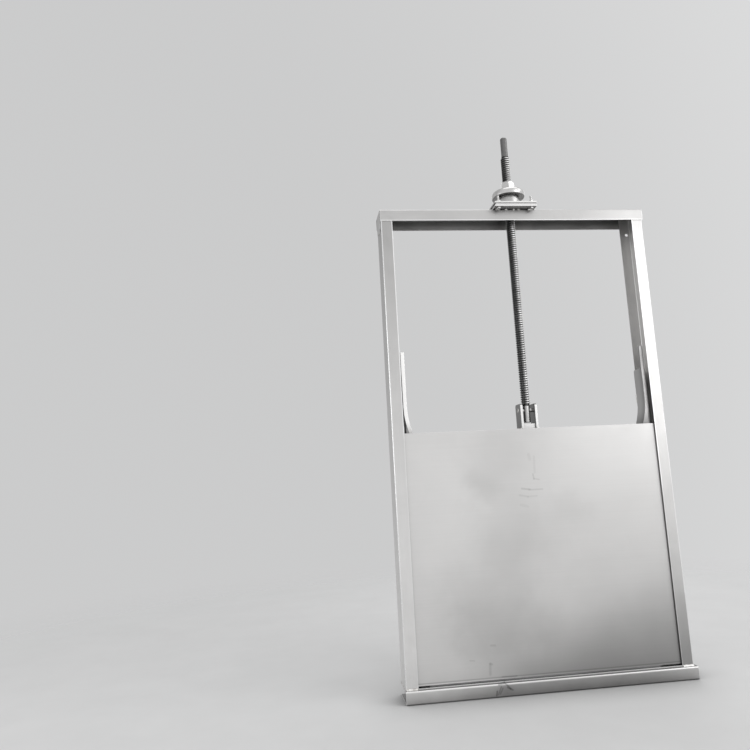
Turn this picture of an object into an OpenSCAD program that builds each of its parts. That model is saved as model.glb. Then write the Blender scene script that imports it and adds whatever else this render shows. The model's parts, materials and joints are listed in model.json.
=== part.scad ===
// Sluice gate: a folded stainless frame, a sliding leaf with its guide rails,
// and a rising screwed stem worked by a nut on the top beam.
// Origin: on the underside of the sill, midway across, in the plane of the posts' front faces.
// +X to the right, +Y away from the viewer, +Z up.

/* [Frame] */
// Width over the two posts
frame_w = 1200; // [1150:10:1300]
// Height from the underside of the sill to the top of the beam
frame_h = 2030; // [1980:10:2200]
// Depth of a post, front face to back face
post_depth = 120; // [115:1:135]
// Width of a post's front and back flanges
post_flange = 50; // [46:1:54]
// Sheet thickness of posts and beam
plate_t = 3; // [2:0.5:4]
// Outside radius of the folds in posts and beam
fold_r = 5; // [5:0.5:8]
// Diameter of the anchor holes in the back flanges
anchor_hole_d = 14; // [10:1:16]
// Height of the lowest anchor hole
anchor_first_z = 150; // [120:10:200]
// Distance of the highest anchor hole below the top of the beam
anchor_top_drop = 80; // [70:5:120]
// Distance of the anchor holes from a post's outer face
anchor_inset = 18; // [16:1:22]

/* [Sill] */
// Height of the sill channel
sill_h = 52; // [46:1:60]
// Sheet thickness of the sill channel
sill_t = 4; // [3:0.5:5]
// Outside radius of the sill's folds
sill_fold_r = 7; // [6:0.5:9]
// How far the sill stands out in front of and behind the posts
sill_proud = 12; // [10:1:16]
// How far the sill runs past the left post
sill_over_left = 2; // [0:1:12]
// How far the sill runs past the right post
sill_over_right = 12; // [0:1:20]
// Height of the seat strip on top of the sill
seat_h = 5; // [4:0.5:6]
// Width of the seat strip, front to back
seat_w = 14; // [12:1:16]

/* [Top beam] */
// Height of the beam's front and back lips
beam_lip = 50; // [40:1:60]
// Length of the end flaps that hang over the posts' outer faces
end_flap = 87; // [60:1:110]
// Distance from the flaps' edges to the beam's front and back faces
flap_inset = 15; // [12:1:20]
// Rounding of the flaps' lower corners
flap_corner_r = 12; // [6:1:20]
// Diameter of the beam's hole for the stem
beam_hole_d = 70; // [62:2:80]

/* [Leaf] */
// Height of the leaf's top edge when it is shut
leaf_top = 1054; // [1040:1:1064]
// Sheet thickness of the leaf's skin
skin_t = 3; // [2:0.5:4]
// Clear distance between sliding and fixed faces
running_gap = 5; // [5:0.5:6]
// Clear distance from the skin's edges to the posts' webs
skin_side_gap = 7; // [6:0.5:10]
// Depth of the leaf's box behind the skin
box_depth = 77; // [74:1:82]
// Thickness of the leaf's flanges, sides and ribs
rib_t = 6; // [5:0.5:8]
// Depth of the horizontal ribs behind the skin
rib_depth = 55; // [45:1:62]
// Height of the rubber under the leaf
bottom_seal_h = 20; // [14:1:24]
// Thickness of the rubber under the leaf
bottom_seal_t = 8; // [6:1:12]
// Width of the slide bars behind the skin's edges
slide_bar_w = 28; // [20:1:32]
// Thickness of the slide bars
slide_bar_t = 8; // [6:0.5:10]

/* [Guide rails] */
// Distance from the frame's side to the inner face of a guide rail
rail_setback = 100; // [95:1:110]
// Thickness of a guide rail
rail_t = 16; // [12:0.5:18]
// Depth of a guide rail, front to back
rail_depth = 66; // [60:1:72]
// Depth of the tongue that a rail runs out in above its backing plate
rail_tongue = 12; // [8:1:20]
// Height of a guide rail's top end
rail_top = 1400; // [1340:10:1440]
// Radius of the long bend that opens the rail outwards
rail_bend_r = 352; // [320:2:400]
// Radius of the short bend below it
rail_kick_r = 75; // [60:1:100]
// Height at which the long bend ends and the rail is upright again
rail_bend_top = 1170; // [1150:2:1200]
// Thickness of the plate that joins a rail to its post
backing_t = 6; // [5:0.5:6]
// Height of that plate's top edge
backing_top = 1300; // [1250:10:1330]
// Lap of that plate behind the rail
backing_lap = 10; // [8:1:14]
// Thickness of the web between a rail and its backing plate
rail_web_t = 6; // [4:0.5:8]
// How far that web lies behind the rail's front edge
rail_web_inset = 3; // [2:0.5:8]
// Number of gussets down each rail
gusset_count = 4; // [3:1:5]
// Thickness of a gusset
gusset_t = 6; // [5:0.5:8]
// Thickness of the rubber on the rail's front edge
side_seal_t = 4; // [3:0.5:5]

/* [Stem and lugs] */
// Diameter over the stem's thread
stem_d = 40; // [36:1:44]
// Rise of the stem for one turn of its nut
stem_pitch = 10; // [6:1:12]
// Distance of the stem's axis behind the posts' front faces
stem_y = 55; // [53:0.5:58]
// Height of the stem's top end when the leaf is shut
stem_top = 2400; // [2360:5:2500]
// Rounding of the stem's top end
stem_round = 8; // [4:0.5:12]
// Length of the stem's turned top end, above the thread
stem_top_plain = 95; // [60:1:120]
// Length of the stem's turned lower end, below the thread
stem_plain = 72; // [64:1:80]
// Diameter of the stem's turned ends
stem_end_d = 30; // [26:1:32]
// Chamfer at the two ends of the thread
thread_chamfer = 3; // [2:0.5:4]
// Chamfer around the stem's foot
foot_chamfer = 2; // [1:0.5:3]
// Height of the stem's lower end above the leaf
stem_foot = 28; // [26:1:32]
// Thickness of a lug
lug_t = 10; // [8:0.5:12]
// Clear distance between the lugs
lug_gap = 54; // [50:1:58]
// Height of the lugs above the leaf
lug_h = 108; // [104:1:116]
// Depth of a lug, front to back
lug_depth = 66; // [56:1:66]
// Rounding of a lug's top corners
lug_corner_r = 10; // [6:1:16]
// Distance from a lug's top down to the cross pin
cross_pin_drop = 27; // [24:1:32]
// Diameter of the cross pin, welded flush into the lugs
cross_pin_d = 16; // [14:1:18]
// Clearance of the pin in the stem and of bolts in their holes, on the radius
bolt_fit = 0.5; // [0.3:0.1:1]
// Height of the block between the lugs
lug_block_h = 22; // [18:1:24]

/* [Lifting nut] */
// Width of the square plates on the beam
base_w = 190; // [184:2:200]
// Thickness of the lower plate, welded to the beam
pad_t = 7; // [6:0.5:10]
// Thickness of the spacer between the plates
spacer_t = 9; // [6:0.5:12]
// How far the spacer lies inside the plates' edges
spacer_inset = 4; // [2:0.5:6]
// Thickness of the upper plate
base_t = 7; // [6:0.5:10]
// Diameter of the holes for the stem in the plates
base_hole_d = 62; // [58:1:66]
// Distance of the plate bolts from the stem's axis, along X
plate_bolt_x = 75; // [74:0.5:80]
// Distance of the plate bolts from the stem's axis, front to back
plate_bolt_y = 81; // [80:0.5:84]
// Diameter of the plate bolts
plate_bolt_d = 10; // [8:1:12]
// Width across the flats of a plate bolt's head
plate_bolt_af = 17; // [15:1:19]
// Height of a plate bolt's head
plate_bolt_head = 8; // [6:1:10]
// How far a plate bolt's end stands above the plates
plate_bolt_end = 30; // [20:1:36]
// Outside diameter of the nut's housing
housing_d = 96; // [90:1:104]
// Height of the housing
housing_h = 45; // [40:1:52]
// Diameter of the nut's sleeve inside the housing
sleeve_d = 56; // [54:1:60]
// Radial running clearance of the sleeve in the housing
sleeve_fit = 0.05; // [0.02:0.01:0.08]
// Clearance between the stem and the nut's bore, on the radius
stem_fit = 0.1; // [0.05:0.05:0.15]
// Axial clearance between the cap and the housing
thrust_gap = 0.1; // [0.05:0.05:0.15]
// Diameter of the cap over the housing
cap_d = 146; // [136:1:156]
// Height of the cap's upright rim
cap_rim = 16; // [12:1:20]
// Radius of the cap's shoulder
cap_shoulder_r = 15; // [10:1:18]
// Rise of the cap's top from its shoulder to the nut
cap_rise = 7; // [4:0.5:10]
// Depth of the hub under the cap's rim
cap_hub = 6; // [5:0.5:8]
// Diameter of the cap's top, under the nut
cap_top_d = 76; // [70:1:84]
// Width across the flats at the foot of the lifting nut's hexagon
nut_af = 58; // [56:1:62]
// Width across the flats at its top
nut_top_af = 52; // [50:1:55]
// Height of the lifting nut's hexagon
nut_h = 37; // [32:1:44]
// Chamfer around its top
nut_chamfer = 5; // [3:0.5:6]
// Turn of the hexagon about the stem, in degrees
nut_turned = 25; // [0:1:59]

/* [Hidden] */
$fn = 96;
half_w = frame_w / 2;
beam_under = frame_h - plate_t;
fold_room = fold_r - plate_t;
skin_y0 = plate_t + running_gap;
skin_y1 = skin_y0 + skin_t;
seal_y0 = skin_y1 + running_gap;
rail_y0 = seal_y0 + side_seal_t;
rail_y1 = rail_y0 + rail_depth;
skin_half = half_w - plate_t - skin_side_gap;
rail_in = half_w - rail_setback;
rail_out_upper = half_w - post_flange - backing_t;
rail_swing = rail_out_upper - rail_t - rail_in;
rail_angle = acos(1 - rail_swing / (rail_bend_r + rail_kick_r));
rail_kick_z = rail_bend_top - (rail_bend_r + rail_kick_r) * sin(rail_angle);
rail_kick_x = rail_in + rail_t / 2 + rail_kick_r;
rail_bend_x = rail_out_upper - rail_t / 2 - rail_bend_r;
rail_web_y1 = rail_y0 + rail_web_inset + rail_web_t;
anchor_pitch = (frame_h - anchor_top_drop - anchor_first_z) / 2;
box_half = rail_in - running_gap;
box_y1 = skin_y1 + box_depth;
seat_top = sill_h + seat_h;
leaf_foot = seat_top + running_gap;
bottom_flange_z = leaf_foot + bottom_seal_h;
lug_y0 = stem_y - lug_depth / 2;
lug_x = lug_gap / 2 + lug_t / 2;
pin_z = leaf_top + lug_h - cross_pin_drop;
stem_foot_z = leaf_top + stem_foot;
spacer_z = frame_h + pad_t;
base_z = spacer_z + spacer_t;
base_top = base_z + base_t;
housing_top = base_top + housing_h;
cap_z = housing_top + thrust_gap;
cap_rim_z = cap_z + cap_hub;
cap_shoulder_z = cap_rim_z + cap_rim;
nut_z = cap_shoulder_z + cap_shoulder_r + cap_rise;
nut_top = nut_z + nut_h;
sleeve_z = base_top + 8;
lift = beam_under - leaf_top - lug_h - running_gap;

// Points along an arc about a centre, from one angle to another.
function arc(centre, r, from, to, steps) = [
    for (i = [0 : steps])
        let (a = from + (to - from) * i / steps)
        [centre[0] + r * cos(a), centre[1] + r * sin(a)]
];

// A folded channel's outline: web along x = 0, open towards +x, with rounded folds.
module channel_outline(height, flange, t, r) {
    inner = r - t;
    outside = concat(
        [[flange, 0]],
        arc([r, r], r, 270, 180, 6),
        arc([r, height - r], r, 180, 90, 6),
        [[flange, height]]
    );
    inside = concat(
        [[flange, height - t]],
        arc([r, height - r], inner, 90, 180, 6),
        arc([r, r], inner, 180, 270, 6),
        [[flange, t]]
    );
    polygon(concat(outside, inside));
}

// Extrudes an outline drawn in (y, z) along x, centred on x = 0.
module along_x(length) {
    rotate([90, 0, 90])
        translate([0, 0, -length / 2])
            linear_extrude(length) children();
}

// Extrudes an outline drawn in (x, z) from one y to another.
module along_y(from, to) {
    translate([0, to, 0])
        rotate([90, 0, 0])
            linear_extrude(to - from) children();
}

// A box between two corners.
module block(low, high) {
    translate(low) cube(high - low);
}

// Keeps the part as drawn for the right side, or mirrors it for the left.
module on_side(side) {
    mirror([side < 0 ? 1 : 0, 0, 0]) children();
}

// A plate with a rounded outline of width x depth, standing on z = 0.
module rounded_bar_outline(w, h, r) {
    polygon(concat(
        [[-w / 2, 0], [w / 2, 0]],
        arc([w / 2 - r, h - r], r, 0, 90, 6),
        arc([-w / 2 + r, h - r], r, 90, 180, 6)
    ));
}

// Frame

module post(side) {
    color("gainsboro")
    on_side(side)
    difference() {
        translate([half_w, 0, sill_h])
            mirror([1, 0, 0])
                linear_extrude(beam_under - fold_room - sill_h)
                    channel_outline(post_depth, post_flange, plate_t, fold_r);
        for (i = [0 : 2])
            translate([half_w - anchor_inset, post_depth - 10, anchor_first_z + i * anchor_pitch])
                rotate([-90, 0, 0])
                    cylinder(d = anchor_hole_d, h = 20);
    }
}

module sill_beam() {
    color("gainsboro")
    translate([(sill_over_right - sill_over_left) / 2, 0, 0])
        along_x(frame_w + sill_over_left + sill_over_right)
            translate([-sill_proud, 0])
                channel_outline(sill_h, post_depth + 2 * sill_proud, sill_t, sill_fold_r);
}

module sill_seat() {
    color("silver")
    block(
        [-half_w + post_flange, -2, sill_h],
        [half_w - post_flange, seat_w - 2, seat_top]
    );
}

module beam_flap() {
    translate([half_w, post_depth / 2, frame_h])
        rotate([0, 90, 0])
            linear_extrude(plate_t)
                rotate([0, 0, -90])
                    rounded_bar_outline(post_depth - 2 * flap_inset, end_flap, flap_corner_r);
}

module top_beam() {
    color("gainsboro")
    difference() {
        union() {
            along_x(frame_w + 2 * plate_t)
                translate([-plate_t, frame_h])
                    rotate([0, 0, -90])
                        channel_outline(post_depth + 2 * plate_t, beam_lip, plate_t, fold_r);
            beam_flap();
            mirror([1, 0, 0]) beam_flap();
        }
        translate([0, stem_y, frame_h - 20])
            cylinder(d = beam_hole_d, h = 40);
    }
}

// Guide rails

// The rail's outer face in (x, z), from the top of its long bend down to the sill.
function rail_outer_face() = concat(
    arc([rail_bend_x, rail_bend_top], rail_bend_r + rail_t / 2, 0, -rail_angle, 20),
    arc([rail_kick_x, rail_kick_z], rail_kick_r - rail_t / 2, 180 - rail_angle, 180, 12),
    [[rail_in + rail_t, sill_h]]
);

// The rail's outline in (x, z): upright, swung inwards by two bends, and upright again.
module rail_outline() {
    inner = concat(
        [[rail_in, sill_h]],
        arc([rail_kick_x, rail_kick_z], rail_kick_r + rail_t / 2, 180, 180 - rail_angle, 12),
        arc([rail_bend_x, rail_bend_top], rail_bend_r - rail_t / 2, -rail_angle, 0, 20),
        [[rail_out_upper - rail_t, rail_top]]
    );
    polygon(concat(inner, [[rail_out_upper, rail_top]], rail_outer_face()));
}

// The bent bar, with a tongue of its front edge left standing above the backing plate.
module guide_rail(side) {
    color("whitesmoke")
    on_side(side)
        difference() {
            along_y(rail_y0, rail_y1) rail_outline();
            block(
                [rail_out_upper - rail_t - 1, rail_y0 + rail_tongue, backing_top],
                [rail_out_upper + 1, rail_y1 + 1, rail_top + 1]
            );
        }
}

// Fills the front between the rail's bends and the plane of its backing plate.
module rail_web(side) {
    color("silver")
    on_side(side)
        along_y(rail_web_y1 - rail_web_t, rail_web_y1)
            polygon(concat([[rail_out_upper, sill_h]], rail_outer_face()));
}

module rail_backing(side) {
    color("silver")
    on_side(side)
        block(
            [rail_out_upper, rail_y1 - backing_lap, sill_h],
            [rail_out_upper + backing_t, post_depth, backing_top]
        );
}

module rail_gussets(side) {
    color("silver")
    on_side(side)
        for (i = [1 : gusset_count])
            block(
                [rail_in + rail_t, rail_web_y1, i * rail_kick_z / (gusset_count + 1) - gusset_t],
                [rail_out_upper, post_depth - 10, i * rail_kick_z / (gusset_count + 1)]
            );
}

module side_seal(side) {
    color("dimgray")
    on_side(side)
        block([rail_in, seal_y0, seat_top], [rail_in + rail_t, rail_y0, rail_kick_z]);
}

// Lifting nut and its plates

module at_plate_bolts() {
    for (x = [-plate_bolt_x, plate_bolt_x], y = [-plate_bolt_y, plate_bolt_y])
        translate([x, stem_y + y, 0]) children();
}

// A square plate about the stem, with the stem's hole and the bolts' holes.
module square_plate(half, low_z, t) {
    difference() {
        block([-half, stem_y - half, low_z], [half, stem_y + half, low_z + t]);
        translate([0, stem_y, low_z - 1])
            cylinder(d = base_hole_d, h = t + 2);
        at_plate_bolts()
            translate([0, 0, low_z - 1])
                cylinder(d = plate_bolt_d + 2 * bolt_fit, h = t + 2);
    }
}

module beam_pad_plate() {
    color("gainsboro") square_plate(base_w / 2, frame_h, pad_t);
}

module spacer_plate() {
    color("silver") square_plate(base_w / 2 - spacer_inset, spacer_z, spacer_t);
}

module bearing_base_plate() {
    color("gainsboro") square_plate(base_w / 2, base_z, base_t);
}

module plate_bolts() {
    color("silver")
    at_plate_bolts()
        translate([0, 0, frame_h - plate_bolt_head]) {
            cylinder(d = plate_bolt_af / cos(30), h = plate_bolt_head, $fn = 6);
            cylinder(d = plate_bolt_d, h = base_top + plate_bolt_end - frame_h + plate_bolt_head);
        }
}

module nut_housing() {
    color("silver")
    translate([0, stem_y, base_top])
        difference() {
            cylinder(d = housing_d, h = housing_h);
            translate([0, 0, -1])
                cylinder(d = sleeve_d + 2 * sleeve_fit, h = housing_h + 2);
        }
}

// A sleeve that turns in the housing, with a tapered hexagon on top.
module lifting_nut() {
    foot_r = nut_af / 2 / cos(30);
    top_r = nut_top_af / 2 / cos(30);
    color("silver")
    translate([0, stem_y, 0])
        difference() {
            union() {
                translate([0, 0, sleeve_z]) cylinder(d = sleeve_d, h = nut_z - sleeve_z);
                intersection() {
                    rotate([0, 0, nut_turned])
                        translate([0, 0, nut_z])
                            cylinder(r1 = foot_r, r2 = top_r, h = nut_h, $fn = 6);
                    rotate_extrude()
                        polygon([
                            [0, nut_z],
                            [foot_r + 1, nut_z],
                            [foot_r + 1, nut_top - nut_chamfer],
                            [top_r, nut_top - nut_chamfer],
                            [top_r - nut_chamfer, nut_top],
                            [0, nut_top]
                        ]);
                }
            }
            translate([0, 0, sleeve_z - 1])
                cylinder(r = stem_d / 2 + stem_fit, h = nut_top - sleeve_z + 2);
        }
}

// A turned cap over the housing, with a rounded shoulder.
module nut_cap() {
    shoulder_in = cap_d / 2 - cap_shoulder_r;
    color("whitesmoke")
    translate([0, stem_y, 0])
        rotate_extrude()
            polygon(concat(
                [
                    [sleeve_d / 2, cap_z],
                    [housing_d / 2 - 6, cap_z],
                    [housing_d / 2 - 6, cap_rim_z],
                    [cap_d / 2 - 2, cap_rim_z],
                    [cap_d / 2, cap_rim_z + 2]
                ],
                arc([shoulder_in, cap_shoulder_z], cap_shoulder_r, 0, 80, 8),
                [[cap_top_d / 2, nut_z], [sleeve_d / 2, nut_z]]
            ));
}

// Leaf

module leaf_skin() {
    color("lightgray")
    block([-skin_half, skin_y0, leaf_foot], [skin_half, skin_y1, leaf_top]);
}

module leaf_flange(low_z) {
    color("silver")
    block([-box_half, skin_y1, low_z], [box_half, box_y1, low_z + rib_t]);
}

module leaf_top_flange() {
    leaf_flange(leaf_top - rib_t);
}

module leaf_bottom_flange() {
    leaf_flange(bottom_flange_z);
}

module leaf_side(side) {
    color("silver")
    on_side(side)
        block(
            [box_half - rib_t, skin_y1, bottom_flange_z + rib_t],
            [box_half, box_y1, leaf_top - rib_t]
        );
}

module lug_rib(side) {
    color("silver")
    on_side(side)
        block(
            [lug_gap / 2, skin_y1, bottom_flange_z + rib_t],
            [lug_gap / 2 + lug_t, box_y1, leaf_top - rib_t]
        );
}

// One horizontal rib, in three lengths between the upright ones.
module leaf_rib(step) {
    rib_z = bottom_flange_z + (leaf_top - bottom_flange_z) * step / 4;
    color("silver") {
        block([-lug_gap / 2, skin_y1, rib_z], [lug_gap / 2, skin_y1 + rib_depth, rib_z + rib_t]);
        for (side = [-1, 1])
            on_side(side)
                block(
                    [lug_gap / 2 + lug_t, skin_y1, rib_z],
                    [box_half - rib_t, skin_y1 + rib_depth, rib_z + rib_t]
                );
    }
}

module slide_bar(side) {
    color("ivory")
    on_side(side)
        block(
            [skin_half - slide_bar_w, skin_y1, leaf_foot + 20],
            [skin_half, skin_y1 + slide_bar_t, leaf_top - 10]
        );
}

module leaf_bottom_seal() {
    color("dimgray")
    block([-box_half, skin_y1, leaf_foot], [box_half, skin_y1 + bottom_seal_t, bottom_flange_z]);
}

// Lugs, cross pin and stem

module cross_cylinder(d, from, to) {
    translate([from, stem_y, pin_z])
        rotate([0, 90, 0])
            cylinder(d = d, h = to - from);
}

module lug(side) {
    color("whitesmoke")
    on_side(side)
    difference() {
        translate([lug_x - lug_t / 2, stem_y, leaf_top])
            rotate([90, 0, 90])
                linear_extrude(lug_t)
                    rounded_bar_outline(lug_depth, lug_h, lug_corner_r);
        cross_cylinder(cross_pin_d, lug_x - lug_t, lug_x + lug_t);
    }
}

module lug_block() {
    color("silver")
    block(
        [-lug_gap / 2, stem_y - lug_depth / 2 + 8, leaf_top],
        [lug_gap / 2, stem_y + lug_depth / 2 - 8, leaf_top + lug_block_h]
    );
}

module cross_pin() {
    reach = lug_x + lug_t / 2;
    color("silver") cross_cylinder(cross_pin_d, -reach, reach);
}

// The stem: turned down below and above its thread, drilled for the pin and rounded at the top.
module stem() {
    r = stem_d / 2;
    end_r = stem_end_d / 2;
    thread_z = stem_foot_z + stem_plain;
    thread_top = stem_top - stem_top_plain;
    color("slategray")
    difference() {
        translate([0, stem_y, 0])
            rotate_extrude()
                polygon(concat(
                    [
                        [0, stem_foot_z],
                        [end_r - foot_chamfer, stem_foot_z],
                        [end_r, stem_foot_z + foot_chamfer],
                        [end_r, thread_z],
                        [r - thread_chamfer, thread_z],
                        [r, thread_z + thread_chamfer],
                        [r, thread_top - thread_chamfer],
                        [r - thread_chamfer, thread_top],
                        [end_r, thread_top]
                    ],
                    arc([end_r - stem_round, stem_top - stem_round], stem_round, 0, 90, 8),
                    [[0, stem_top]]
                ));
        cross_cylinder(cross_pin_d + 2 * bolt_fit, -stem_d, stem_d);
    }
}

post(-1);  // left_post
post(1);  // right_post
sill_beam();
sill_seat();
top_beam();
guide_rail(-1);  // left_guide_rail
guide_rail(1);  // right_guide_rail
rail_backing(-1);  // left_rail_backing
rail_backing(1);  // right_rail_backing
rail_web(-1);  // left_rail_web
rail_web(1);  // right_rail_web
rail_gussets(-1);  // left_rail_gussets
rail_gussets(1);  // right_rail_gussets
side_seal(-1);  // left_side_seal
side_seal(1);  // right_side_seal
beam_pad_plate();
spacer_plate();
bearing_base_plate();
plate_bolts();
nut_housing();
lifting_nut();
nut_cap();
leaf_skin();
leaf_top_flange();
leaf_bottom_flange();
leaf_side(-1);  // left_leaf_side
leaf_side(1);  // right_leaf_side
leaf_rib(3);  // upper_leaf_rib
leaf_rib(2);  // middle_leaf_rib
leaf_rib(1);  // lower_leaf_rib
lug_rib(-1);  // left_lug_rib
lug_rib(1);  // right_lug_rib
slide_bar(-1);  // left_slide_bar
slide_bar(1);  // right_slide_bar
leaf_bottom_seal();
lug(-1);  // left_lug
lug(1);  // right_lug
lug_block();
cross_pin();
stem();
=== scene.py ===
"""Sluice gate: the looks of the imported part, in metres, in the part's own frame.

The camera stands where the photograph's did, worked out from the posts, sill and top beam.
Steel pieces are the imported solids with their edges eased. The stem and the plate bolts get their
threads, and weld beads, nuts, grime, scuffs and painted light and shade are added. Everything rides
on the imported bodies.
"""
import json
import math

import bmesh
import bpy
from mathutils import Matrix, Vector

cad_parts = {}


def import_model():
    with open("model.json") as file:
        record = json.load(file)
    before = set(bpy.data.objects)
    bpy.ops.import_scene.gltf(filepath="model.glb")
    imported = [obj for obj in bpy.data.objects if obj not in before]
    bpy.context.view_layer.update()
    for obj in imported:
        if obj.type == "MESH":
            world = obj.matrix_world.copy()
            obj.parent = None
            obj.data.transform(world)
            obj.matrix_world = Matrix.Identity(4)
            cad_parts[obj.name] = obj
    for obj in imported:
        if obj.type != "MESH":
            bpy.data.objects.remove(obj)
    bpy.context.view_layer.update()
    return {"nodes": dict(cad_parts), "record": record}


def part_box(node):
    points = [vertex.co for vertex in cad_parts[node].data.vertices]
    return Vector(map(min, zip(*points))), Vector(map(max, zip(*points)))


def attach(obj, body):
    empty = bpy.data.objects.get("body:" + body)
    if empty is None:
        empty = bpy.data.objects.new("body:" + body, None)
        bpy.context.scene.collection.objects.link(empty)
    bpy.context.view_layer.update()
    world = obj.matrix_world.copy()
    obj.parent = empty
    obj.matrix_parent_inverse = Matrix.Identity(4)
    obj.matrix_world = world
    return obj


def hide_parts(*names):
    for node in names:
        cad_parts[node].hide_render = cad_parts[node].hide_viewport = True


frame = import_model()
NODES = frame["nodes"]

# Camera, from the fit to the photograph
CAMERA_AT = Vector((-0.9933, -2.7479, 0.8682))
CAMERA_HEADING = math.radians(6.94)
CAMERA_PITCH = math.radians(8.92)
CAMERA_ROLL = math.radians(-2.90)
FOCAL_PIXELS = 671.0
FRAME_PIXELS = 750.0
SENSOR_MM = 36.0

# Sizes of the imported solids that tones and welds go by
SHEET = 0.003
HALF_WIDTH = 0.600
POST_DEPTH = 0.120
FLANGE_EDGE = 0.550
RAIL_SIDE = 0.5
RAIL_FRONT = 0.022
RAIL_BACK = 0.062
BEAM_TOP = 2.030
LIP_EDGE = 1.980
LEAF_TOP = 1.055
SILL_FOLD = 0.050
STEM_Y = 0.055

# Stem: its thread, the plain collars at the thread's ends, and the two turned ends
THREAD_PITCH = 0.010
THREAD_DEPTH = 0.0045
THREAD_STEPS = 32
THREAD_FROM_FOOT = 0.001
THREAD_FROM_TOP = 0.008
TURNED_FOOT = 0.072
TURNED_TOP = 0.095
COLLAR_PROUD = 0.0002
COLLAR_LENGTH = 0.02

# The radii between which the screw turns from painted shade in its roots to a painted highlight on
# its crests
STEM_ROOT_R = 0.0172
STEM_CREST_R = 0.0192

# A thread's outline, as shares of its pitch and its depth, and the turns over which it runs out
THREAD_FORM = ((0.0, 0.0), (0.22, 1.0), (0.50, 1.0), (0.72, 0.0))
FADE_TURNS = 0.5

# Plate bolts
BOLT_RADIUS = 0.0049
BOLT_PITCH = 0.0015
BOLT_DEPTH = 0.0007
BOLT_STEPS = 20
BOLT_NUT_AF = 0.017
BOLT_NUT_H = 0.006
WASHER_R = 0.0105
WASHER_T = 0.0016
WASHER_STEPS = 32

# A nut's outline, as shares of its height and its corners' radius
NUT_FORM = ((0.0, 0.93), (0.12, 1.0), (0.88, 1.0), (1.0, 0.93))

# Edges: how far each kind is rounded, and a turned end's chamfer
SHEET_EDGE = 0.0006
BAR_EDGE = 0.0009
MOULDED_EDGE = 0.0014
CHAMFER = 0.001

# The angle in degrees from which an edge counts as sharp
SOLID_ANGLE = 28.0
NUT_ANGLE = 30.0
THREAD_ANGLE = 40.0
BEAD_ANGLE = 50.0

# Weld beads: their legs, their ripples and the stitches' length
LEG = {
    "foot_front": 0.0060, "foot_left": 0.0024, "foot_right": 0.0040, "foot_back": 0.0045,
    "lip": 0.0026, "flap": 0.0022, "stitch": 0.0035, "plate_side": 0.004, "housing": 0.0035,
    "lug_foot": 0.005, "lug_front": 0.003, "pin": 0.0022,
}
RIPPLE = 0.0024
STATIONS_A_RIPPLE = 3
RIPPLE_RISE = 0.12
WANDER = 0.08
ARC_POINTS = 7
STITCH = 0.038

# Where the beads start and stop, and each blob's x, length and leg
CORNER_INSET = 0.004
FLAP_INSET = 0.030
RAIL_WELD_FOOT = 1.10
LUG_GAP = 0.040
PLATE_RUN = (0.006, 0.114)
BLOB_DROP = 0.0012
PLATE_BLOBS = (
    (-0.083, 0.020, 0.0030), (-0.040, 0.012, 0.0034), (-0.004, 0.010, 0.0042),
    (0.016, 0.014, 0.0030), (0.066, 0.024, 0.0038),
)

# Grain of the sheets and bars, as noise scales along X, Y and Z
LEVEL_GRAIN = (6.0, 240.0, 240.0)
UPRIGHT_GRAIN = (240.0, 240.0, 6.0)
LEAF_GRAIN = (3.0, 200.0, 260.0)
SILL_GRAIN = (4.0, 240.0, 240.0)
PLATE_GRAIN = (40.0, 40.0, 240.0)
TURNED_GRAIN = (20.0, 20.0, 900.0)
SLIDE_GRAIN = (30.0, 30.0, 2.0)

# How far worn brightness and a painted edge highlight reach in from an edge
BAR_RUB_AND_GLINT = 0.0022
SHEET_RUB_AND_GLINT = 0.004
TURNED_RUB_AND_GLINT = 0.0018
THREAD_RUB_AND_GLINT = 0.0011

# The palest that a steel's own colour gets, and the pale greys that rubbed wear and painted
# highlights bring it to
BRIGHTEST = 0.95
RUB_AND_GLINT_GREY = 0.9
HIGHLIGHT_GREY = 0.92
CUT_GLINT_GREY = 0.95

# The run over which a sharp change of tone takes place
SHARP = 0.001

# The painted highlight on the cut edges: how far in it starts to show and is full, on the flanges
# and the lip, and the height above which the left and the right flange's shows
FLANGE_GLINT = (0.0036, 0.0022)
LIP_GLINT = (0.0030, 0.0018)
GLINT_FOOT = (1.08, 0.80)

# The painted shade line at the fold near the leaf's lower edge: its height, half its width and its
# reach
RIM_LINE = 0.0700
RIM_CORE = 0.0010
RIM_REACH = 0.0035

# A painted shadow that lies over the gate's lower right, leaf and frame alike
SHADOW_SLOPE = 0.25
SHADOW_TOP = 0.42

# The painted shade of the slot beside the left web, from where it starts to where it is full
WEB_SLOT_SHADE = (-0.5335, -0.5385)

# Soft clouds on the leaf: x, z, reach across, reach up, and the share of the tone that goes
LEAF_CLOUDS = (
    (-0.243, 0.828, 0.13, 0.10, 0.10),
    (-0.09, 0.66, 0.22, 0.30, 0.07),
    (0.144, 0.705, 0.14, 0.12, 0.07),
    (-0.34, 0.34, 0.17, 0.24, 0.11),
    (-0.17, 0.40, 0.14, 0.34, 0.05),
    (-0.18, 0.25, 0.34, 0.18, 0.13),
    (-0.14, 1.00, 0.34, 0.30, 0.12),
    (-0.18, 0.46, 0.26, 0.60, 0.065),
    (-0.10, 0.08, 0.16, 0.10, 0.07),
)

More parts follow.
